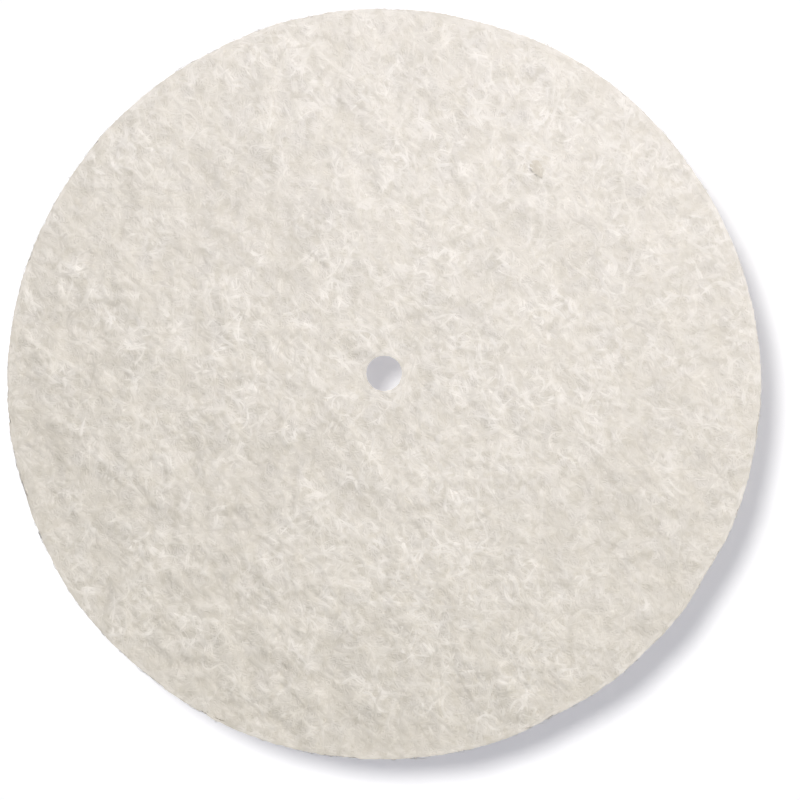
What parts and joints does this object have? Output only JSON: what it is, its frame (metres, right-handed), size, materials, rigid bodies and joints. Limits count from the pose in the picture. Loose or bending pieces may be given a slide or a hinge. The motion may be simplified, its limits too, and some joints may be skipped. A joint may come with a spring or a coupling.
{
  "type": "felt polishing wheel",
  "caption": "Thin round wheel of pressed wool felt with a small pilot hole for a mandrel's screw, for polishing stone and metal.",
  "frame": {"origin": "on the bore's axis, halfway through the felt", "axes": "+Z along the bore, which is the axis the wheel spins about, out of the upper face; +Y from the rim's centre towards the bore, which is punched 0.34 mm off it"},
  "size_m": [0.0254, 0.0254, 0.0032],
  "materials": {
    "felt": "matte pressed wool felt, natural off-white"
  },
  "bodies": {
    "root": {"felt_wheel": "felt"}
  },
  "joints": []
}
